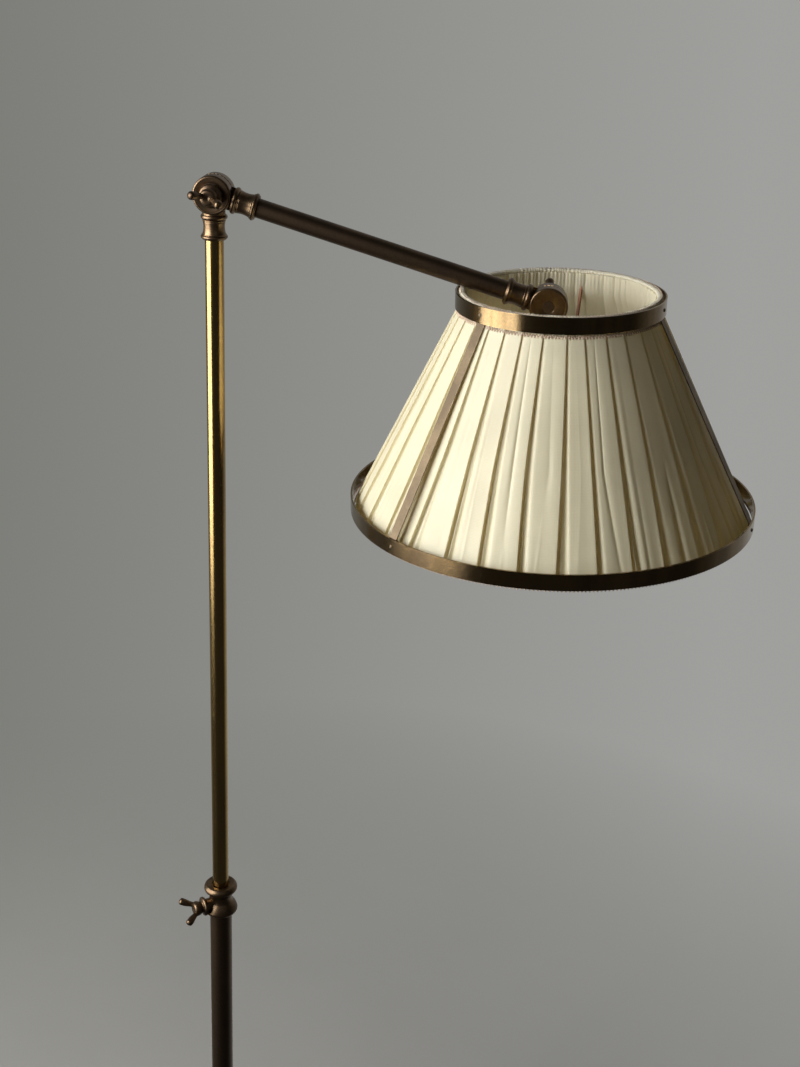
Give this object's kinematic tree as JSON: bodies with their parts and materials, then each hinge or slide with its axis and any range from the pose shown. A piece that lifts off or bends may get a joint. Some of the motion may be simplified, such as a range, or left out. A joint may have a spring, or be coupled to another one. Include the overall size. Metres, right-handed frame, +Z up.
{
  "type": "floor lamp",
  "caption": "Bridge floor lamp: weighted round foot, telescoping brass stem with clamp collar, toothed knuckles on a short drop arm, pleated silk shade in a bronze hoop cage.",
  "frame": {"origin": "centre of the foot's underside, on the floor", "axes": "+Z up along the stem, +X from the stem towards the shade"},
  "size_m": [0.6068, 0.3486, 1.396],
  "materials": {
    "felt": "matt felt",
    "cast_weight": "rough black",
    "bronze": "dark bronze patina, satin",
    "bright_brass": "polished",
    "steel": "darkened",
    "bush_rubber": "matt",
    "porcelain": "glazed",
    "lamp_metal": "bright",
    "frosted_glass": "frosted",
    "cage_bronze": "dark bronze patina, semi-gloss",
    "frame_wire": "white enamel",
    "silk": "ivory silk",
    "lining_silk": "cream silk",
    "braid": "woven braid"
  },
  "bodies": {
    "base": {"base_felt": "felt", "base_weight": "cast_weight", "base_cover": "bronze", "base_socket": "bronze", "base_rod": "steel", "base_washer": "steel", "base_nut": "steel", "tube_plug": "steel", "cable_grommet": "bush_rubber", "outer_tube": "bronze", "collar": "bronze", "collar_bush": "bright_brass", "pressure_pad": "bright_brass"},
    "collar_wing": {"collar_screw": "bronze"},
    "stem_guide": {"stem_bush": "bright_brass"},
    "stem": {"stem_tube": "bright_brass", "pole_knuckle": "bronze"},
    "arm": {"arm_knuckle_inner": "bronze", "arm_tube": "bronze", "arm_knuckle_outer": "bronze", "pivot_bolt_upper": "steel", "washer_upper": "steel"},
    "upper_wing": {"wing_nut_upper": "bronze"},
    "holder": {"holder_knuckle": "bronze", "pivot_bolt_lower": "steel", "washer_lower": "steel", "ferrule_insert": "bright_brass", "holder_nipple": "bright_brass", "holder_cap": "bronze", "holder_body": "bronze", "holder_liner": "porcelain", "holder_thread": "bright_brass", "holder_contact": "bright_brass"},
    "lower_wing": {"wing_nut_lower": "bronze"},
    "clamp_ring": {"shade_ring": "bronze"},
    "shade": {"shade_hub": "bronze", "spokes": "bronze", "top_wire": "frame_wire", "bottom_wire": "frame_wire", "rib_wires": "frame_wire", "top_hoop": "cage_bronze", "bottom_hoop": "cage_bronze", "slat_front": "cage_bronze", "slat_side": "cage_bronze", "slat_rear": "cage_bronze", "slat_rivets": "cage_bronze", "shade_cover": "silk", "shade_lining": "lining_silk", "rim_binding": "silk", "top_braid": "braid", "bottom_braid": "braid"},
    "lamp": {"lamp_cap": "lamp_metal", "lamp_glass": "frosted_glass"}
  },
  "joints": [
    {"name": "collar_screw_turn", "type": "hinge", "parent": "base", "child": "collar_wing", "pos_m": [0, 0, 0.6705], "axis": [-0.8039, -0.5948, 0], "continuous": true},
    {"name": "stem_slide", "type": "slide", "parent": "base", "child": "stem_guide", "axis": [0, 0, 1], "range_m": [-0.45, 0.05]},
    {"name": "stem_turn", "type": "hinge", "parent": "stem_guide", "child": "stem", "pos_m": [0, 0, 0.6], "axis": [0, 0, 1], "range_deg": [-180, 180]},
    {"name": "arm_hinge", "type": "hinge", "parent": "stem", "child": "arm", "pos_m": [0, 0, 1.38], "axis": [0, -1, 0], "range_deg": [-8, 90]},
    {"name": "upper_wing_turn", "type": "hinge", "parent": "arm", "child": "upper_wing", "pos_m": [0, 0, 1.38], "axis": [0, -1, 0], "continuous": true},
    {"name": "shade_tilt", "type": "hinge", "parent": "arm", "child": "holder", "pos_m": [0.28025, 0, 1.30543], "axis": [0, -1, 0], "range_deg": [0, 120]},
    {"name": "lower_wing_turn", "type": "hinge", "parent": "holder", "child": "lower_wing", "pos_m": [0.28025, 0, 1.30543], "axis": [0, 1, 0], "continuous": true},
    {"name": "clamp_ring_turn", "type": "hinge", "parent": "holder", "child": "clamp_ring", "pos_m": [0.28304, 0, 1.22548], "axis": [-0.0349, 0, 0.9994], "continuous": true},
    {"name": "shade_turn", "type": "hinge", "parent": "holder", "child": "shade", "pos_m": [0.28304, 0, 1.22548], "axis": [-0.0349, 0, 0.9994], "continuous": true},
    {"name": "lamp_turn", "type": "hinge", "parent": "holder", "child": "lamp", "pos_m": [0.28304, 0, 1.22548], "axis": [-0.0349, 0, 0.9994], "continuous": true}
  ]
}
